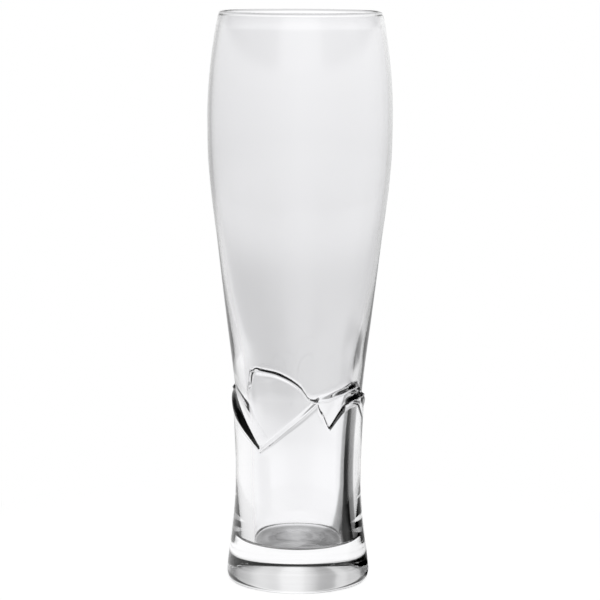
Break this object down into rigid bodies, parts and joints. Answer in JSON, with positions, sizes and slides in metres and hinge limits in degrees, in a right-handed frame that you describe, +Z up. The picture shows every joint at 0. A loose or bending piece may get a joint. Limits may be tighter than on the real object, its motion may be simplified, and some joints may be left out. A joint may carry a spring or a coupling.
{
  "type": "weizen glass",
  "caption": "Tall clear beer glass with a slim swelling bowl, a raised wavy band above a thick-walled stem, and a heavy solid foot to stand on",
  "frame": {"origin": "centre of the foot, on the plane the glass stands on", "axes": "+Z up along the glass's own axis, -Y towards the side with the band's tallest hump left of centre"},
  "size_m": [0.0804, 0.0804, 0.25],
  "materials": {
    "glass": "clear soda-lime glass, fire-polished"
  },
  "bodies": {
    "root": {"glass": "glass"}
  },
  "joints": []
}
